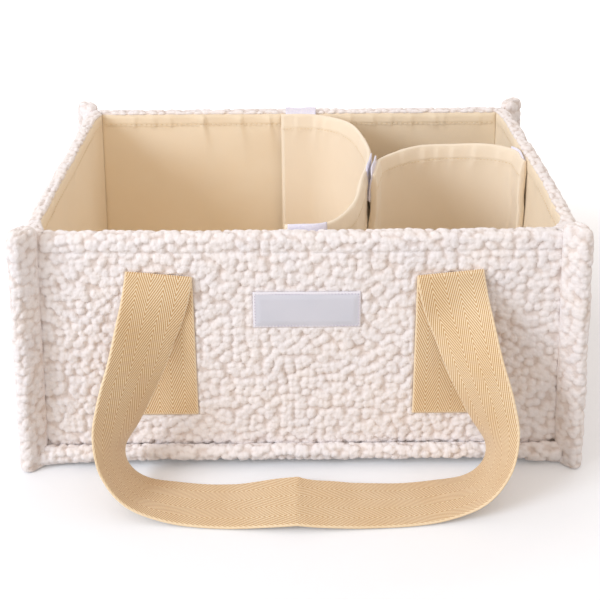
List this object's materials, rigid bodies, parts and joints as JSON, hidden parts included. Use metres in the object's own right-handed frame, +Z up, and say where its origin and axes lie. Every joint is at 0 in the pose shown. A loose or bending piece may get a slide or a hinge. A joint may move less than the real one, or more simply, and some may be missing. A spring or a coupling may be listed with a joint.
{
  "type": "fabric storage caddy",
  "caption": "Open rectangular soft-walled storage caddy with lift-out curved dividers, seam ribs and two flat webbing handles.",
  "frame": {"origin": "on the floor under the middle of the body", "axes": "+X along the long wall to the right, -Y towards the front wall with the label, +Z up"},
  "size_m": [0.3934, 0.4122, 0.182],
  "materials": {
    "boucle_cloth": "ivory boucle cloth with raised knobs",
    "stiff_board": "stiff foam sheet, matt",
    "lining_cloth": "smooth cream woven cloth",
    "handle_webbing": "tan herringbone webbing",
    "satin_label": "pale satin, blank",
    "hook_tape": "pale lavender hook-and-loop tape"
  },
  "bodies": {
    "basket": {"front_cover": "boucle_cloth", "right_cover": "boucle_cloth", "back_cover": "boucle_cloth", "left_cover": "boucle_cloth", "front_board": "stiff_board", "right_board": "stiff_board", "back_board": "stiff_board", "left_board": "stiff_board", "front_lining": "lining_cloth", "right_lining": "lining_cloth", "back_lining": "lining_cloth", "left_lining": "lining_cloth", "base_cover": "boucle_cloth", "base_board": "stiff_board", "base_lining": "lining_cloth", "front_left_corner_rib": "boucle_cloth", "front_right_corner_rib": "boucle_cloth", "back_left_corner_rib": "boucle_cloth", "back_right_corner_rib": "boucle_cloth", "front_base_rib": "boucle_cloth", "right_base_rib": "boucle_cloth", "back_base_rib": "boucle_cloth", "left_base_rib": "boucle_cloth", "front_label": "satin_label", "front_handle_left_tab": "handle_webbing", "front_handle_right_tab": "handle_webbing", "back_handle_left_tab": "handle_webbing", "back_handle_right_tab": "handle_webbing", "back_wall_tape": "hook_tape", "front_wall_tape": "hook_tape", "right_wall_tape": "hook_tape"},
    "front_handle": {"front_handle_loop": "handle_webbing"},
    "back_handle": {"back_handle_loop": "handle_webbing"},
    "long_divider": {"long_divider_cover": "lining_cloth", "long_divider_board": "stiff_board", "long_divider_back_tape": "hook_tape", "long_divider_front_tape": "hook_tape", "long_divider_side_tape": "hook_tape"},
    "short_divider": {"short_divider_cover": "lining_cloth", "short_divider_board": "stiff_board", "short_divider_left_tape": "hook_tape", "short_divider_right_tape": "hook_tape"}
  },
  "joints": [
    {"name": "front_handle_swing", "type": "hinge", "parent": "basket", "child": "front_handle", "pos_m": [0.003, -0.12604, 0.145], "axis": [-1, 0, 0], "range_deg": [0, 145]},
    {"name": "back_handle_swing", "type": "hinge", "parent": "basket", "child": "back_handle", "pos_m": [-0.003, 0.12604, 0.145], "axis": [1, 0, 0], "range_deg": [0, 145]},
    {"name": "long_divider_lift", "type": "slide", "parent": "basket", "child": "long_divider", "axis": [0, 0, 1], "range_m": [0, 0.19]},
    {"name": "short_divider_lift", "type": "slide", "parent": "basket", "child": "short_divider", "axis": [0, 0, 1], "range_m": [0, 0.19]}
  ]
}
